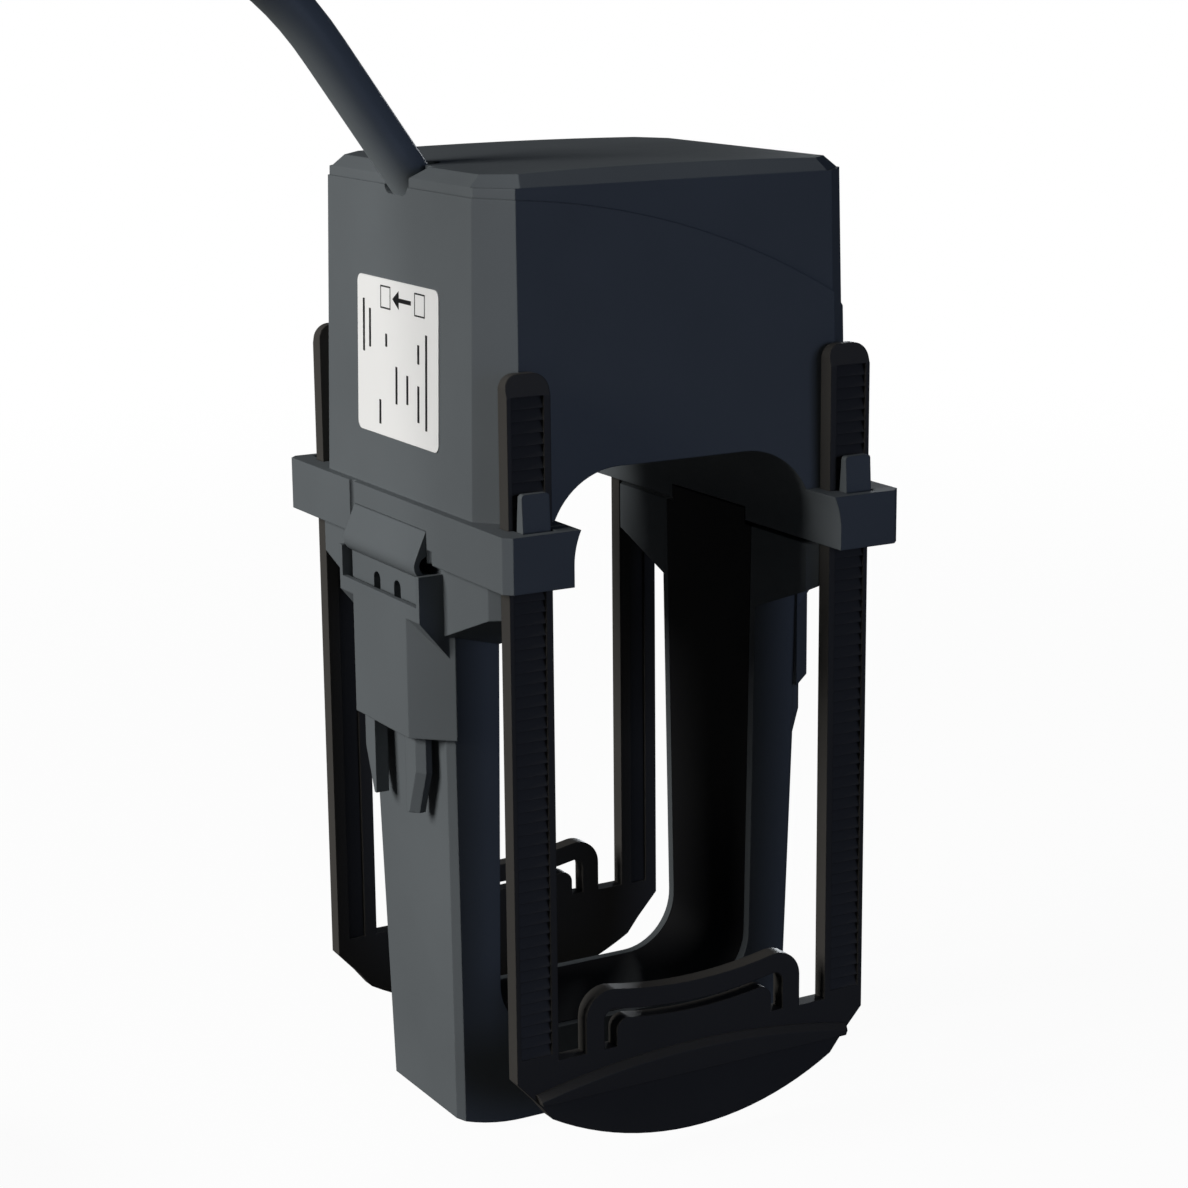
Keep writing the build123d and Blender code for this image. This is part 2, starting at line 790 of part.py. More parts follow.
for name, side_x, side_y in (
    ("pawl_front_left", -1, -1),
    ("pawl_front_right", 1, -1),
    ("pawl_rear_left", -1, 1),
    ("pawl_rear_right", 1, 1),
):
    with BuildPart() as pawl:
        placed = pawl_form.part
        if side_x < 0:
            placed = placed.mirror(Plane.YZ)
        if side_y < 0:
            placed = placed.mirror(Plane.XZ)
        add(placed)
    pawl.part.label = name
    export_step(pawl.part, f"parts/{name}.step")

# Yoke: a U-shaped tray, its window-side liner and the lower half of the core
leg_top_z = parting_z - flange_top_gap
pocket_top_z = parting_z + housing_height


def yoke_outline(inset):
    """Front outline of the yoke: legs narrowing downwards and a bowed base."""
    top_x = leg_outer_x - inset
    edge_x = leg_outer_x - leg_width_draft * (parting_z - base_edge_rise) - inset
    flat = base_flat_half
    with BuildSketch(Plane.XZ) as face:
        with BuildLine():
            Line((-flat, inset), (flat, inset))
            TangentArc((flat, inset), (edge_x, base_edge_rise + inset), tangent=(1, 0))
            Polyline((edge_x, base_edge_rise + inset), (top_x, leg_top_z), (-top_x, leg_top_z),
                     (-edge_x, base_edge_rise + inset))
            TangentArc((-flat, inset), (-edge_x, base_edge_rise + inset), tangent=(-1, 0))
        make_face()
    return face.sketch


def yoke_side(inset, top):
    """Block with the yoke's depth, which narrows downwards."""
    low_half = leg_depth - leg_depth_draft * parting_z - inset
    top_half = leg_depth - leg_depth_draft * (parting_z - top) - inset
    with BuildPart() as block:
        with BuildSketch(Plane.YZ):
            with BuildLine():
                Polyline((-low_half, 0), (low_half, 0), (top_half, top), (-top_half, top), close=True)
            make_face()
        extrude(amount=housing_width, both=True)
    return block.part


def window_space(grow, top):
    """Space of the window in the yoke, wider by a layer."""
    low = window_sill - grow
    with BuildPart() as space:
        with BuildSketch(Plane.XZ) as outline:
            with Locations((0, (low + top) / 2)):
                Rectangle(2 * (half_window + grow), top - low)
            fillet(outline.vertices().group_by(Axis.Y)[0], window_bottom_radius + grow)
        extrude(amount=collar_depth, both=True)
    return space.part


def yoke_flange():
    """Plate beside the top of a leg, with an underside that rises outwards."""
    outer = Vector(leg_outer_x, flange_reach, parting_z - flange_outer_low)
    root = Vector(leg_outer_x, leg_depth, parting_z - flange_root_low)
    inner = Vector(half_window, flange_reach, parting_z - flange_inner_low)
    normal = (root - outer).cross(inner - outer)
    with BuildPart() as plate:
        with BuildSketch(Plane.XY.offset(parting_z - flange_root_low - flange_inner_low)) as plan:
            with Locations(((leg_outer_x + half_window) / 2, (flange_reach + leg_depth / 2) / 2)):
                Rectangle(leg_outer_x - half_window, flange_reach - leg_depth / 2)
            chamfer(plan.vertices().group_by(Axis.Y)[-1], flange_chamfer)
        extrude(amount=flange_root_low + flange_inner_low - flange_top_gap)
        split(bisect_by=Plane(origin=outer, z_dir=normal), keep=Keep.BOTTOM)
    return plate.part


def tunnel_plan(inset):
    """Plan of the latch tunnel: outer face and two slanted flanks."""
    root_x = leg_outer_x - wall
    flank = (tunnel_root_half - tunnel_face_half) / tunnel_reach
    shift = inset * sqrt(1 + flank**2)
    face_x = tunnel_face_x - inset
    face_half = tunnel_face_half + flank * inset - shift
    root_half = tunnel_face_half + flank * (tunnel_face_x - root_x) - shift
    with BuildSketch(Plane.XY.offset(parting_z - tunnel_low)) as plan:
        with BuildLine():
            Polyline((root_x, -root_half), (face_x, -face_half), (face_x, face_half), (root_x, root_half),
                     close=True)
        make_face()
    return plan.sketch


def cheek_block(inset, half, top):
    """Wider top of the tunnel, with an underside that rises outwards."""
    root_x = leg_outer_x - wall
    slope = (cheek_low_inner - cheek_low_outer) / (tunnel_face_x - leg_outer_x)
    low_outer = parting_z - cheek_low_outer + inset * sqrt(1 + slope**2)
    with BuildPart() as block:
        with BuildSketch(Plane.XZ):
            with BuildLine():
                face_x = tunnel_face_x - inset
                Polyline(
                    (face_x, low_outer - slope * inset),
                    (face_x, top),
                    (root_x, top),
                    (root_x, low_outer - slope * (tunnel_face_x - root_x)),
                    close=True,
                )
            make_face()
        extrude(amount=half, both=True)
    return block.part


def latch_tunnel():
    """Hollow pad on the right leg that the clip's prongs pass through."""
    cheek_top_z = parting_z - cheek_top
    with BuildPart() as pad:
        extrude(tunnel_plan(0), amount=tunnel_low - cheek_low_outer)
        add(cheek_block(0, cheek_half, cheek_top_z))
    return pad.part


def tunnel_void():
    """Space inside the latch tunnel, open at both ends."""
    with BuildPart() as void:
        extrude(tunnel_plan(tunnel_wall), amount=tunnel_low)
        add(cheek_block(tunnel_wall, cheek_half - cheek_wall, parting_z))
        with BuildSketch(Plane.XY.offset(parting_z - tunnel_top)):
            with Locations((tunnel_face_x, 0)):
                Rectangle(4 * tunnel_wall, 2 * (cheek_half - cheek_wall))
        extrude(amount=tunnel_top)
        with BuildSketch(Plane.XY.offset(parting_z - tunnel_low)):
            with Locations((leg_outer_x - wall, 0)):
                Rectangle(2 * (wall + running_gap), 4 * cheek_half)
        extrude(amount=tunnel_low, mode=Mode.SUBTRACT)
    return void.part


def yoke_pocket():
    """Inside of the tray, open at the top and towards the window."""
    with BuildPart() as pocket:
        extrude(yoke_outline(wall), amount=leg_depth, both=True)
        add(yoke_side(wall, leg_top_z), mode=Mode.INTERSECT)
    return pocket.part


with BuildPart() as yoke_housing:
    extrude(yoke_outline(0), amount=leg_depth + wall, both=True)
    add(yoke_side(0, leg_top_z), mode=Mode.INTERSECT)
    add(window_space(0, pocket_top_z), mode=Mode.SUBTRACT)
    corners = yoke_housing.edges().filter_by(
        lambda edge: edge.length > window_height / 2 and abs(edge.center().X) > half_window + wall
    )
    chamfer(corners, leg_corner_chamfer)
    for flange_part in (yoke_flange(), yoke_flange().mirror(Plane.XZ)):
        add(flange_part)
        add(flange_part.mirror(Plane.YZ))
    add(latch_tunnel())
    add(latch_tunnel().mirror(Plane.YZ))
    add(tunnel_void(), mode=Mode.SUBTRACT)
    add(tunnel_void().mirror(Plane.YZ), mode=Mode.SUBTRACT)
    add(yoke_pocket(), mode=Mode.SUBTRACT)
    # Ribs under the core
    core_low_z = window_sill - wall - 2 * seat_gap - core_thickness
    with BuildSketch(Plane.XY.offset(wall)):
        with GridLocations(base_flat_half / 1.5, 0, 3, 1):
            Rectangle(wall, 2 * core_half_depth)
    extrude(amount=core_low_z - wall - seat_gap)
yoke_housing.part.label = "yoke_housing"
export_step(yoke_housing.part, "parts/yoke_housing.step")

with BuildPart() as yoke_liner:
    add(window_space(wall, parting_z + tongue_rise))
    add(window_space(0, pocket_top_z), mode=Mode.SUBTRACT)
    add(yoke_side(wall + seat_gap, parting_z + tongue_rise), mode=Mode.INTERSECT)
    # Only the narrower tongues go on above the legs, into the head
    with BuildSketch(Plane.XY.offset(leg_top_z)):
        Rectangle(housing_width, housing_depth)
        Rectangle(housing_width, 2 * tongue_half_depth, mode=Mode.SUBTRACT)
    extrude(amount=tongue_rise + flange_top_gap, mode=Mode.SUBTRACT)
yoke_liner.part.label = "yoke_liner"
export_step(yoke_liner.part, "parts/yoke_liner.step")

with BuildPart() as yoke_core:
    core_gap = wall + seat_gap
    core_top_z = core_meeting_z - air_gap
    add(window_space(core_gap + core_thickness, core_top_z))
    add(window_space(core_gap, pocket_top_z), mode=Mode.SUBTRACT)
    with BuildSketch(Plane.XZ):
        with Locations((0, core_top_z / 2)):
            Rectangle(housing_width, core_top_z)
    extrude(amount=core_half_depth, both=True, mode=Mode.INTERSECT)
yoke_core.part.label = "yoke_core"
export_step(yoke_core.part, "parts/yoke_core.step")

# Latch clips: a C-shaped spring in the collar's edge carries a plate with two prongs
prong_root_low = clip_plate_low - barrel_wall
fairing_top = Vector(collar_width / 2, parting_z + fairing_rise)
fairing_run = fairing_top - Vector(*barrel_centre)
fairing_turn = atan2(fairing_run.Y, fairing_run.X) - acos(barrel_radius / fairing_run.length)
fairing_low = Vector(*barrel_centre) + Vector(cos(fairing_turn), sin(fairing_turn)) * barrel_radius
with BuildPart() as latch_clip_right:
    with BuildSketch(Plane.XZ):
        with Locations(barrel_centre):
            Circle(barrel_radius)
            Circle(barrel_radius - barrel_wall, mode=Mode.SUBTRACT)
        with Locations((barrel_centre[0] - barrel_radius, barrel_centre[1])):
            Rectangle(2 * barrel_radius, 2 * barrel_radius, mode=Mode.SUBTRACT)
        with Locations((barrel_centre[0] - barrel_wall / 2, parting_z + barrel_top_rise - barrel_wall / 2)):
            Rectangle(barrel_wall, barrel_wall)
        # Fairing from the collar's face down to the barrel
        with BuildLine():
            Polyline(
                (fairing_top.X, fairing_top.Y),
                (fairing_low.X, fairing_low.Y),
                (fairing_top.X, parting_z + barrel_top_rise - barrel_wall / 2),
                close=True,
            )
        make_face()
        plate_top_z = parting_z - barrel_low + barrel_wall
        plate_low_z = parting_z - clip_plate_low
        with Locations((clip_face_x - clip_plate_thickness / 2, (plate_top_z + plate_low_z) / 2)):
            Rectangle(clip_plate_thickness, plate_top_z - plate_low_z)
    extrude(amount=clip_half_width, both=True)
    with BuildSketch(Plane.YZ.offset(clip_face_x)):
        with Locations((-hole_half_pitch, 0), (hole_half_pitch, 0)):
            with Locations((0, parting_z - (hole_low + hole_high + hole_width / 2) / 2)):
                Rectangle(hole_width, hole_low - hole_high - hole_width / 2)
            with Locations((0, parting_z - hole_high - hole_width / 2)):
                Circle(hole_width / 2)
    extrude(amount=-2 * clip_plate_thickness, mode=Mode.SUBTRACT)
    for side in (-1, 1):
        with BuildSketch(Plane.YZ.offset(prong_face_x)):
            with BuildLine():
                Polyline(
                    (side * prong_inner, parting_z - prong_root_low),
                    (side * prong_outer, parting_z - prong_root_low),
                    (side * prong_outer, parting_z - prong_taper_low),
                    (side * prong_tip_outer, parting_z - prong_low),
                    (side * prong_inner, parting_z - prong_low),
                    close=True,
                )
            make_face()
        extrude(amount=-prong_thickness)
    outer_edges = latch_clip_right.edges().filter_by(
        lambda edge: abs(edge.center().X - prong_face_x) < 0.01
        and abs(edge.center().Y) > prong_tip_outer
        and edge.length > prong_thickness
        and abs(edge.center().Z - parting_z + prong_root_low) > prong_thickness
    )
    chamfer(outer_edges, prong_bevel)
latch_clip_right.part.label = "latch_clip_right"
export_step(latch_clip_right.part, "parts/latch_clip_right.step")

with BuildPart() as latch_clip_left:
    add(latch_clip_right.part.mirror(Plane.YZ))
latch_clip_left.part.label = "latch_clip_left"
export_step(latch_clip_left.part, "parts/latch_clip_left.step")

# Terminal pins in the bobbin's right flange, and the leads to them
pin_x = bobbin_half_length - bobbin_flange / 2
wire_z = spring_low_z + pin_height / 2
with BuildPart() as terminal_pins:
    with BuildSketch(Plane.XY.offset(spring_low_z)):
        with Locations((pin_x, -pin_half_pitch), (pin_x, pin_half_pitch)):
            Circle(pin_radius)
    extrude(amount=pin_height)
terminal_pins.part.label = "terminal_pins"
export_step(terminal_pins.part, "parts/terminal_pins.step")

clamp_end = Vector(*cable_exit) + clamp_plane.z_dir * clamp_length
lead_turn = clamp_end + clamp_plane.z_dir * lead_straight
for name, side in (("lead_brown", -1), ("lead_blue", 1)):
    half_pair = side * (core_wire_diameter + core_wire_gap) / 2
    with BuildPart() as lead:
        add(
            tube(
                [
                    (clamp_end.X, half_pair, clamp_end.Z),
                    (lead_turn.X, half_pair, lead_turn.Z),
                    (clamp_end.X + lead_spread_run, side * pin_half_pitch, wire_z + lead_spread_rise),
                    (pin_x - pin_radius - seat_gap, side * pin_half_pitch, wire_z),
                ],
                core_wire_diameter,
            )
        )
    lead.part.label = name
    export_step(lead.part, f"parts/{name}.step")

# Cable outside the head
with BuildPart() as cable_sheath:
    add(tube(cable_route, cable_diameter))
cable_sheath.part.label = "cable_sheath"
export_step(cable_sheath.part, "parts/cable_sheath.step")


floor_turns = [(coil_inner_turn, cable_radius), (coil_outer_turn, cable_radius)]
tied_turns = floor_turns + [(coil_top_turn, coil_top_z)]
coil_axis = Axis((*coil_centre, 0), (0, 0, 1))


def turns_section(turns, grow):
    """Outline round some turns of the coil, with X outwards from the coil's middle."""
    with BuildSketch(Plane(origin=(*coil_centre, 0), x_dir=(1, 0, 0), z_dir=(0, -1, 0))) as section:
        with Locations(*turns):
            RegularPolygon(cable_radius + grow, section_sides, major_radius=False, rotation=180 / section_sides)
        make_hull()
    return section.sketch


def coil_band(sketch, start, arc):
    """Band round the coil's middle, over an arc from an angle on."""
    with BuildPart() as band:
        revolve(sketch, axis=coil_axis, revolution_arc=arc)
    return band.part.rotate(coil_axis, start)


with BuildPart() as cable_coil:
    revolve(turns_section(floor_turns, 0), axis=coil_axis)
    add(coil_band(turns_section(tied_turns, 0), top_start_angle, tail_start_angle - top_start_angle))
cable_coil.part.label = "cable_coil"
export_step(cable_coil.part, "parts/cable_coil.step")

# Tail of the cable: the end of the top turn
tail_radius = coil_top_turn / cos(radians(tail_step / 2))
tail_route = [coil_point(tail_radius, tail_start_angle + k * tail_step, coil_top_z) for k in range(4)]
tail_end_angle = tail_start_angle + 3 * tail_step
with BuildPart() as cable_tail:
    add(tube(tail_route, cable_diameter))
cable_tail.part.label = "cable_tail"
export_step(cable_tail.part, "parts/cable_tail.step")

# Two cores out of the end of the sheath, on along the turns, each with a ferrule
core_rest_z = cable_diameter + ferrule_collar_diameter / 2 + seat_gap
core_start = (core_wire_diameter + core_wire_gap) / 2
core_fan = [
    (core_start, 0, coil_top_z),
    (core_start + 0.2, 11, coil_top_z - 0.2),
    (core_start + 0.7, 22, core_rest_z + 0.1),
    (core_start + 1.3, 33, core_rest_z),
]
for colour, side in (("brown", 1), ("blue", -1)):
    core_route = [
        coil_point(coil_top_turn + side * spread, tail_end_angle + angle, z)
        for spread, angle, z in core_fan
    ]
    with BuildPart() as core_wire:
        add(tube(core_route, core_wire_diameter))
    core_wire.part.label = f"core_{colour}"
    export_step(core_wire.part, f"parts/core_{colour}.step")
    wire_end = Vector(*core_route[-1])
    wire_direction = Vector(wire_end.X, wire_end.Y, 0) - Vector(*core_route[-2][:2], 0)
    ferrule_plane = Plane(origin=wire_end, z_dir=wire_direction)
    print(f"ferrule {colour} from", [round(v, 3) for v in wire_end], "along",
          [round(v, 5) for v in ferrule_plane.z_dir])
    with BuildPart() as ferrule:
        with BuildSketch(ferrule_plane):
            Circle(ferrule_collar_diameter / 2)
        extrude(amount=ferrule_collar_length)
        with BuildSketch(ferrule_plane):
            Circle(ferrule_diameter / 2)
        extrude(amount=ferrule_collar_length + ferrule_length)
    ferrule.part.label = f"ferrule_{colour}"
    export_step(ferrule.part, f"parts/ferrule_{colour}.step")

# Tie round the turns, with its head on top
tie_arc = degrees(tie_width / coil_top_turn)
with BuildPart() as cable_tie:
    add(coil_band(turns_section(tied_turns, tie_thickness), tie_angle, tie_arc))
    with BuildSketch(Plane(origin=(*coil_centre, 0), x_dir=(1, 0, 0), z_dir=(0, -1, 0))) as tie_top:
        with Locations((coil_top_turn, coil_top_z + cable_radius + tie_head / 2)):
            Rectangle(tie_head, tie_head)
    add(coil_band(tie_top.sketch, tie_angle, tie_arc))
    inside = turns_section(tied_turns, 0).moved(Location((0, 0, tie_slack)))
    add(coil_band(inside, tie_angle, tie_arc), mode=Mode.SUBTRACT)
    split(bisect_by=Plane.XY, keep=Keep.TOP)
cable_tie.part.label = "cable_tie"
export_step(cable_tie.part, "parts/cable_tie.step")
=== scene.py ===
from math import cos, radians, sin, tan

import bmesh
import bpy
from mathutils import Matrix, Vector


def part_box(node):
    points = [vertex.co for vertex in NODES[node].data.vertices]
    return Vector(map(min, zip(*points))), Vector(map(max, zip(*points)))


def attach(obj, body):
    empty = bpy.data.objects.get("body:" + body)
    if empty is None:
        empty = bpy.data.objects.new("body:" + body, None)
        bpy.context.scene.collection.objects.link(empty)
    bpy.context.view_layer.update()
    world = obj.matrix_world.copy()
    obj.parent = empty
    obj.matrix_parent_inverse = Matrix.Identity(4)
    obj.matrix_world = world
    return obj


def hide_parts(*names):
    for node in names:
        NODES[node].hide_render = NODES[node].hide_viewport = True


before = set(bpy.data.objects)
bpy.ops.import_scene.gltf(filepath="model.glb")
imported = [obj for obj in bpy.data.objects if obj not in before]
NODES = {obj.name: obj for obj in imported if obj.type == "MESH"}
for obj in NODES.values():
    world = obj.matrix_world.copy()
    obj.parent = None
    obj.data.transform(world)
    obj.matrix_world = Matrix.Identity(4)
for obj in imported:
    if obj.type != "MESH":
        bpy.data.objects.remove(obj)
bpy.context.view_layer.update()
SCENE = bpy.context.scene
MM = 0.001

# Camera at the photograph's angle
camera_place = Vector((-193.618, -343.995, 167.467)) * MM
camera_yaw = radians(29.555)
camera_pitch = radians(13.345)
camera_roll = radians(-0.531)
focal_length = 84.563
sensor_width = 36.0

# Cable, in millimetres: straight out of the notch, over and down beside the transformer
cable_diameter = 6.2
cable_exit = (-23.0, 0, 130.0)
cable_route = [
    cable_exit,
    (-31.3, 0, 141.8),
    (-46.5, 0, 163.5),
    (-67.0, -1.0, 170.6),
    (-88.0, -5.0, 165.2),
    (-102.8, -12.5, 148.3),
    (-105.2, -20.0, 119.0),
    (-105.6, -27.0, 86.0),
    (-105.0, -31.0, 57.0),
    (-103.9, -29.6, 37.5),
    (-102.5, -24.4, 21.3),
    (-100.2, -14.2, 9.2),
    (-97.0, -0.5, 3.1),
]

# Coil: two turns side by side on the floor and most of a third on top
coil_centre = (-129.6, 14.0)
coil_step = 30
landing_angle = -13
coil_outer_turn = 35.0
coil_inner_turn = 28.8
coil_top_turn = 31.9
coil_low_z = 3.1
coil_top_z = 8.47
turn_corners = 12
coil_corners = 31

# Label: draft of the face that carries it, and its generic print, in millimetres from its middle
housing_draft = radians(1.34)
mark_height = 0.02
mark_box_half = 1.6
mark_box_line = 0.22
mark_box_along = 8.4
mark_box_across = (3.6, -7.0)
mark_bar_width = 0.62
mark_arrow = [(-4.4, 8.1), (-4.4, 8.7), (-0.6, 8.7), (-0.6, 9.7), (1.4, 8.4), (-0.6, 7.1), (-0.6, 8.1)]
mark_bars = [
    (10.6, 0.2, 7.6),
    (8.6, 1.0, 6.4),
    (3.4, 1.6, 3.4),
    (0.2, -6.0, -0.8),
    (-3.2, -5.6, -1.6),
    (-6.6, -7.6, -2.6),
    (-6.6, 0.4, 3.0),
    (-9.0, -8.4, 4.6),
    (5.4, -9.4, -6.0),
]

# Room, in metres
lamp_target = (0, 0, 0.07)
floor_radius = 6


def camera_object():
    """Camera with the photograph's place, turn and lens."""
    forward = Vector((
        sin(camera_yaw) * cos(camera_pitch),
        cos(camera_yaw) * cos(camera_pitch),
        -sin(camera_pitch),
    ))
    level = Vector((cos(camera_yaw), -sin(camera_yaw), 0))
    upright = level.cross(forward)
    right = level * cos(camera_roll) + upright * sin(camera_roll)
    up = upright * cos(camera_roll) - level * sin(camera_roll)
    data = bpy.data.cameras.new("camera")
    data.lens = focal_length
    data.sensor_width = sensor_width
    data.clip_start = 0.01
    data.clip_end = 20
    camera = bpy.data.objects.new("camera", data)
    SCENE.collection.objects.link(camera)
    turn = Matrix((right, up, -forward)).transposed()
    camera.matrix_world = Matrix.Translation(camera_place) @ turn.to_4x4()
    SCENE.camera = camera
    return camera


def area_light(name, place, target, size, power, colour):
    """Square soft lamp that faces a point."""
    data = bpy.data.lights.new(name, "AREA")
    data.size = size
    data.energy = power
    data.color = colour
    lamp = bpy.data.objects.new(name, data)
    lamp.location = place
    lamp.rotation_mode = "QUATERNION"
    lamp.rotation_quaternion = (Vector(target) - Vector(place)).to_track_quat("-Z", "Y")
    SCENE.collection.objects.link(lamp)
    return lamp


class Nodes:
    """A material's node tree, built by short calls."""

    def __init__(self, name):
        self.material = bpy.data.materials.new(name)
        self.material.use_nodes = True
        self.tree = self.material.node_tree
        self.tree.nodes.clear()
        self.output = self.tree.nodes.new("ShaderNodeOutputMaterial")

    def add(self, kind, values=(), **settings):
        node = self.tree.nodes.new("ShaderNode" + kind)
        for key, value in settings.items():
            setattr(node, key, value)
        for key, value in dict(values).items():
            node.inputs[key].default_value = value
        return node

    def link(self, source, output, target, socket):
        self.tree.links.new(source.outputs[output], target.inputs[socket])

    def place(self):
        return self.add("TexCoord")

    def noise(self, scale, detail=3.0, roughness=0.5):
        node = self.add("TexNoise", {"Scale": scale, "Detail": detail, "Roughness": roughness})
        self.link(self.place(), "Object", node, "Vector")
        return node

    def ramp(self, source, output, stops):
        node = self.add("ValToRGB")
        elements = node.color_ramp.elements
        while len(elements) < len(stops):
            elements.new(0.5)
        for element, (position, colour) in zip(elements, stops):
            element.position = position
            element.color = (*colour, 1)
        self.link(source, output, node, "Fac")
        return node

    def spread(self, source, low, high):
        node = self.add("MapRange", {"To Min": low, "To Max": high})
        self.link(source, "Fac", node, "Value")
        return node


def shaded(colour, factor):
    return tuple(min(1, channel * factor) for channel in colour)


def plastic(
    name, colour, roughness=0.5, specular=0.3, grain=2600, grain_depth=0.02, edge=0.25, variation=0.06
):
    """Moulded plastic: slight colour drift, fine mould texture and softened edges."""
    nodes = Nodes(name)
    surface = nodes.add("BsdfPrincipled", {"Specular IOR Level": specular})
    drift = nodes.noise(35)
    dark = shaded(colour, 1 - variation)
    pale = shaded(colour, 1 + variation)
    ramp = nodes.ramp(drift, "Fac", [(0.3, dark), (0.7, pale)])
    nodes.link(ramp, "Color", surface, "Base Color")
    smudge = nodes.noise(120, detail=5)
    gloss = nodes.spread(smudge, roughness - 0.07, roughness + 0.07)
    nodes.link(gloss, "Result", surface, "Roughness")
    texture = nodes.noise(grain, detail=2)
    soft_edge = nodes.add("Bevel", {"Radius": edge * MM}, samples=4)
    bump = nodes.add("Bump", {"Strength": 0.35, "Distance": grain_depth * MM})
    nodes.link(texture, "Fac", bump, "Height")
    nodes.link(soft_edge, "Normal", bump, "Normal")
    nodes.link(bump, "Normal", surface, "Normal")
    nodes.link(surface, "BSDF", nodes.output, "Surface")
    return nodes.material


def metal(name, colour, roughness=0.3, scratch=(900, 60, 60)):
    """Drawn or ground metal with fine lines."""
    nodes = Nodes(name)
    surface = nodes.add("BsdfPrincipled", {"Metallic": 1.0, "Base Color": (*colour, 1)})
    stretch = nodes.add("Mapping", {"Scale": scratch})
    nodes.link(nodes.place(), "Object", stretch, "Vector")
    lines = nodes.add("TexNoise", {"Scale": 12, "Detail": 4})
    nodes.link(stretch, "Vector", lines, "Vector")
    gloss = nodes.spread(lines, roughness - 0.1, roughness + 0.12)
    nodes.link(gloss, "Result", surface, "Roughness")
    bump = nodes.add("Bump", {"Strength": 0.2, "Distance": 0.01 * MM})
    nodes.link(lines, "Fac", bump, "Height")
    nodes.link(bump, "Normal", surface, "Normal")
    nodes.link(surface, "BSDF", nodes.output, "Surface")
    return nodes.material


def layered(name, colour, pitch, axis, roughness, metallic):
    """Thin layers or turns side by side, as of wound strip or wire."""
    nodes = Nodes(name)
    surface = nodes.add("BsdfPrincipled", {"Metallic": metallic, "Roughness": roughness})
    full_turn = 6.2832
    wave_scale = 1 / (pitch * MM) / full_turn * 2
    wave_values = {"Scale": wave_scale, "Distortion": 0.4, "Detail": 1}
    wave = nodes.add("TexWave", wave_values, bands_direction=axis)
    nodes.link(nodes.place(), "Object", wave, "Vector")
    ramp = nodes.ramp(wave, "Fac", [(0.1, shaded(colour, 0.6)), (0.7, shaded(colour, 1.1))])
    nodes.link(ramp, "Color", surface, "Base Color")
    bump = nodes.add("Bump", {"Strength": 0.5, "Distance": 0.1 * MM})
    nodes.link(wave, "Fac", bump, "Height")
    nodes.link(bump, "Normal", surface, "Normal")
    nodes.link(surface, "BSDF", nodes.output, "Surface")
    return nodes.material


def backdrop(name, bounce, shown, share, fade_start, fade_end):
    """Matt surface: darker for the light it throws back, white with a soft shadow for the camera."""
    nodes = Nodes(name)
    dark = nodes.add("BsdfDiffuse", {"Color": (bounce, bounce, bounce, 1)})
    pale = nodes.add("BsdfDiffuse", {"Color": (shown, shown, shown, 1)})
    glow = nodes.add("Emission", {"Color": (1, 1, 1, 1), "Strength": 1.0})
    distance = nodes.add("VectorMath", operation="LENGTH")
    nodes.link(nodes.place(), "Object", distance, 0)
    fade_range = {"From Min": fade_start, "From Max": fade_end, "To Min": share, "To Max": 1.0}
    fade = nodes.add("MapRange", fade_range, interpolation_type="SMOOTHSTEP")
    nodes.link(distance, "Value", fade, "Value")
    seen_mix = nodes.add("MixShader")
    nodes.link(fade, "Result", seen_mix, 0)
    nodes.link(pale, "BSDF", seen_mix, 1)
    nodes.link(glow, "Emission", seen_mix, 2)
    rays = nodes.add("LightPath")
    seen = nodes.add("Math", operation="MAXIMUM")
    nodes.link(rays, "Is Camera Ray", seen, 0)
    nodes.link(rays, "Is Transmission Ray", seen, 1)
    mix = nodes.add("MixShader")
    nodes.link(seen, 0, mix, 0)
    nodes.link(dark, "BSDF", mix, 1)
    nodes.link(seen_mix, "Shader", mix, 2)
    nodes.link(mix, "Shader", nodes.output, "Surface")
    return nodes.material


def world_light(colour, strength):
    """Even light all round, with a white background for camera and transmission rays."""
    world = bpy.data.worlds.new("studio")
    SCENE.world = world
    world.use_nodes = True
    tree = world.node_tree
    tree.nodes.clear()
    output = tree.nodes.new("ShaderNodeOutputWorld")
    ambient = tree.nodes.new("ShaderNodeBackground")
    ambient.inputs["Color"].default_value = (*colour, 1)
    ambient.inputs["Strength"].default_value = strength
    white = tree.nodes.new("ShaderNodeBackground")
    white.inputs["Color"].default_value = (1, 1, 1, 1)
    white.inputs["Strength"].default_value = 1.0
    rays = tree.nodes.new("ShaderNodeLightPath")
    seen = tree.nodes.new("ShaderNodeMath")
    seen.operation = "MAXIMUM"
    tree.links.new(rays.outputs["Is Camera Ray"], seen.inputs[0])
    tree.links.new(rays.outputs["Is Transmission Ray"], seen.inputs[1])
    mix = tree.nodes.new("ShaderNodeMixShader")
    tree.links.new(seen.outputs[0], mix.inputs[0])
    tree.links.new(ambient.outputs["Background"], mix.inputs[1])
    tree.links.new(white.outputs["Background"], mix.inputs[2])
    tree.links.new(mix.outputs["Shader"], output.inputs["Surface"])


def mesh_object(name, builder):
    """Object whose mesh a bmesh function fills."""
    mesh = bpy.data.meshes.new(name)
    shape = bmesh.new()
    builder(shape)
    bmesh.ops.recalc_face_normals(shape, faces=shape.faces)
    shape.to_mesh(mesh)
    shape.free()
    item = bpy.data.objects.new(name, mesh)
    SCENE.collection.objects.link(item)
    return item


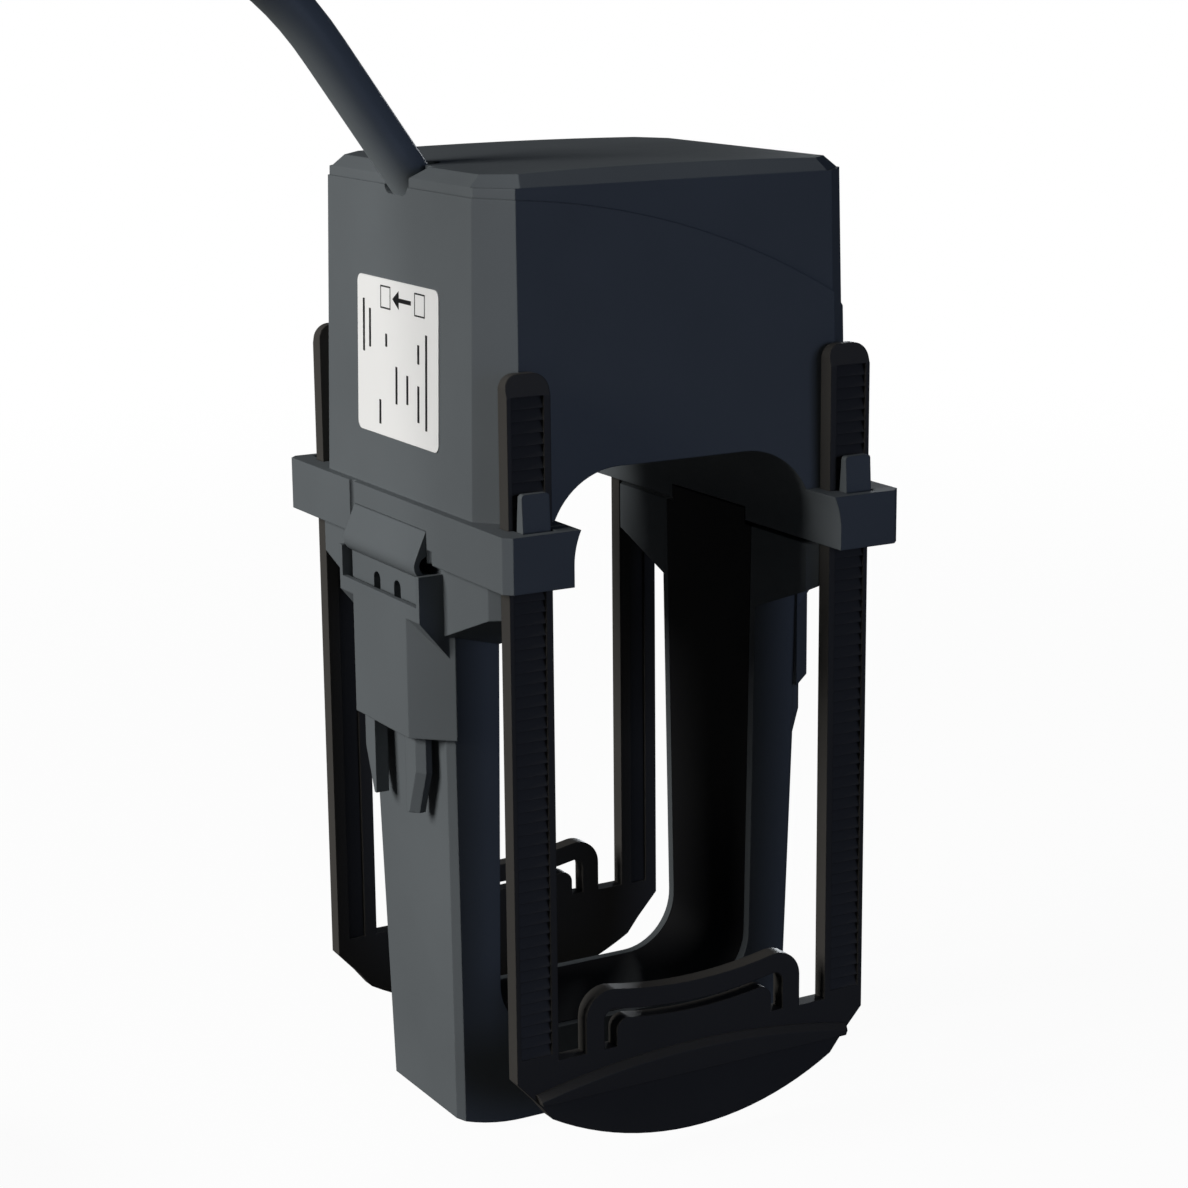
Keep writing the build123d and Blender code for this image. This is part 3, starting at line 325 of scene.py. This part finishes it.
def cable_points():
    """Control points of the whole sheath: route outside the head, then the turns of the coil."""
    points = list(cable_route)
    reach = 1 / cos(radians(coil_step / 2))
    # Where the cable passes from one turn to the next
    crossings = {
        9: (36.2, 3.1), 10: (34.8, 3.1), 11: (30.5, 3.1), 12: (29.6, 3.1), 13: (29.8, 3.1), 20: (30.0, 3.1),
        21: (29.5, 4.7), 22: (30.2, 7.9), 23: (32.2, 10.6), 24: (33.4, 9.9), 25: (32.5, 8.47),
    }
    for corner in range(coil_corners):
        if corner in crossings:
            radius, height = crossings[corner]
        elif corner < turn_corners:
            radius, height = coil_outer_turn * reach, coil_low_z
        elif corner < 2 * turn_corners:
            radius, height = coil_inner_turn * reach, coil_low_z
        else:
            radius, height = coil_top_turn * reach, coil_top_z
        points.append(coil_point(radius, landing_angle + coil_step * (corner + 0.5), height))
    points.append(coil_point(coil_top_turn, landing_angle + coil_step * coil_corners, coil_top_z))
    return points


def coil_point(radius, angle, height):
    """Point round the coil's middle, at an angle from the X direction."""
    turn = radians(angle)
    return (coil_centre[0] + radius * cos(turn), coil_centre[1] + radius * sin(turn), height)


def cable_curve():
    """The whole sheath as one smooth spline of its real length."""
    data = bpy.data.curves.new("cable", "CURVE")
    data.dimensions = "3D"
    data.bevel_depth = cable_diameter / 2 * MM
    data.bevel_resolution = 6
    data.resolution_u = 8
    data.use_fill_caps = True
    spline = data.splines.new("NURBS")
    points = cable_points()
    spline.points.add(len(points) - 1)
    for point, place in zip(spline.points, points):
        point.co = (*(Vector(place) * MM), 1)
    spline.order_u = 3
    spline.use_endpoint_u = True
    item = bpy.data.objects.new("cable", data)
    SCENE.collection.objects.link(item)
    return item


def label_marks():
    """Generic printed marks on the label: an arrow, two empty boxes and plain bars."""
    low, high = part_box("rating_label")
    middle_y = (low.y + high.y) / 2
    middle_z = (low.z + high.z) / 2
    half_height = (high.z - low.z) / 2

    def face_x(z):
        return low.x + (z + half_height * 1000) * MM * tan(housing_draft) - mark_height * MM

    def polygon(shape, outline):
        corners = []
        for across, along in outline:
            corners.append(shape.verts.new((face_x(along), middle_y + across * MM, middle_z + along * MM)))
        shape.faces.new(corners)

    def bar(shape, across, low_z, high_z, width):
        half = width / 2
        left = across - half
        right = across + half
        polygon(shape, [(left, low_z), (right, low_z), (right, high_z), (left, high_z)])

    def frame_box(shape, across, along, half, line):
        for sign in (-1, 1):
            edge = across + sign * (half - line / 2)
            bar(shape, edge, along - half, along + half, line)
            cap = along + sign * (half - line / 2)
            polygon(shape, [
                (across - half + line, cap - line / 2),
                (across + half - line, cap - line / 2),
                (across + half - line, cap + line / 2),
                (across - half + line, cap + line / 2),
            ])

    def build(shape):
        for across in mark_box_across:
            frame_box(shape, across, mark_box_along, mark_box_half, mark_box_line)
        polygon(shape, mark_arrow)
        for across, low_z, high_z in mark_bars:
            bar(shape, across, low_z, high_z, mark_bar_width)

    return mesh_object("label_marks", build)


def floor_object():
    """Round pale floor, far wider than the view."""
    def build(shape):
        bmesh.ops.create_circle(shape, cap_ends=True, segments=96, radius=floor_radius)
    return mesh_object("floor", build)


def set_material(name, material):
    """Puts one material on every slot of a CAD node."""
    item = NODES[name]
    if not item.material_slots:
        item.data.materials.append(material)
    for place in item.material_slots:
        place.material = material


camera_object()

# Light: a lamp on the left, weak ones in front and behind, and hardly any from elsewhere
area_light("key", (-1.25, 0.1, 0.62), lamp_target, size=0.6, power=18.5, colour=(1, 0.99, 0.97))
area_light("fill", (0.35, -1.35, 0.25), lamp_target, size=0.6, power=2.5, colour=(0.53, 0.65, 1))
area_light("back", (0.95, 1.15, 0.12), lamp_target, size=0.2, power=3, colour=(0.9, 0.95, 1))
world_light(colour=(0.7, 0.8, 1.0), strength=0.035)

# Materials
housing_colour = (0.112, 0.125, 0.133)
black_colour = (0.055, 0.052, 0.048)
grey = plastic("housing_grey", housing_colour, roughness=0.55, specular=0.25)
clip_grey = plastic("clip_grey", shaded(housing_colour, 1.05), roughness=0.42, specular=0.3)
black = plastic("bracket_black", black_colour, roughness=0.45, specular=0.15, grain=3200, grain_depth=0.015)
# Painted shade: the yoke liner's near-black colour stands in for the deep shadow inside the window
liner_painted_shade = plastic("liner_painted_shade", (0.009, 0.009, 0.01), roughness=0.5, specular=0.15)
# Painted light: the sheath's own grey is close to the housing's; it is made paler here to make up for key
# light its round side doesn't catch
cable_painted_light_grey = plastic("cable_sheath", shaded(housing_colour, 1.55), roughness=0.5, specular=0.25, grain=1500)
label_film = plastic(
    "label_film", (0.92, 0.92, 0.91), roughness=0.3, specular=0.4, grain=800, edge=0.05, variation=0.01
)
mark_ink = plastic("mark_ink", (0.012, 0.012, 0.013), roughness=0.4, specular=0.3, edge=0.01)
natural = plastic("bobbin_natural", (0.72, 0.7, 0.64), roughness=0.45)
rubber = plastic("clamp_black", (0.02, 0.02, 0.021), roughness=0.6)
brown = plastic("core_brown", (0.14, 0.05, 0.025), roughness=0.4)
blue = plastic("core_blue", (0.02, 0.09, 0.32), roughness=0.4)
nylon = plastic("tie_black", (0.015, 0.015, 0.016), roughness=0.4)
steel = metal("spring_steel", (0.55, 0.55, 0.54))
tin = metal("tinned", (0.7, 0.7, 0.68), roughness=0.35)
strip = layered("core_strip", (0.4, 0.4, 0.4), pitch=0.3, axis="X", roughness=0.4, metallic=1.0)
copper = layered("winding_copper", (0.7, 0.26, 0.1), pitch=0.5, axis="X", roughness=0.35, metallic=1.0)

MATERIAL_OF = {
    "head_shell": grey, "head_cover": grey, "yoke_housing": grey, "yoke_liner": liner_painted_shade,
    "latch_clip_left": clip_grey, "latch_clip_right": clip_grey, "rating_label": label_film,
    "front_bracket": black, "rear_bracket": black, "pawl_front_left": grey, "pawl_front_right": grey,
    "pawl_rear_left": grey, "pawl_rear_right": grey, "upper_core": strip, "yoke_core": strip,
    "bobbin": natural, "winding": copper, "core_spring": steel, "cable_clamp": rubber,
    "terminal_pins": tin, "lead_brown": brown, "lead_blue": blue, "core_brown": brown, "core_blue": blue,
    "ferrule_brown": tin, "ferrule_blue": tin, "cable_sheath": cable_painted_light_grey, "cable_coil": cable_painted_light_grey,
    "cable_tail": cable_painted_light_grey, "cable_tie": nylon,
}
for node_name, node_material in MATERIAL_OF.items():
    set_material(node_name, node_material)

# Cable
cable = cable_curve()
cable.data.materials.append(cable_painted_light_grey)
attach(cable, "head")
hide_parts("cable_sheath", "cable_coil", "cable_tail")

# Label print
marks = label_marks()
marks.data.materials.append(mark_ink)
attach(marks, "head")

# Floor
floor = floor_object()
floor_pale = backdrop("floor_pale", bounce=0.1, shown=0.9, share=0.96, fade_start=0.2, fade_end=0.7)
floor.data.materials.append(floor_pale)

SCENE.view_settings.view_transform = "Standard"
bpy.context.view_layer.update()
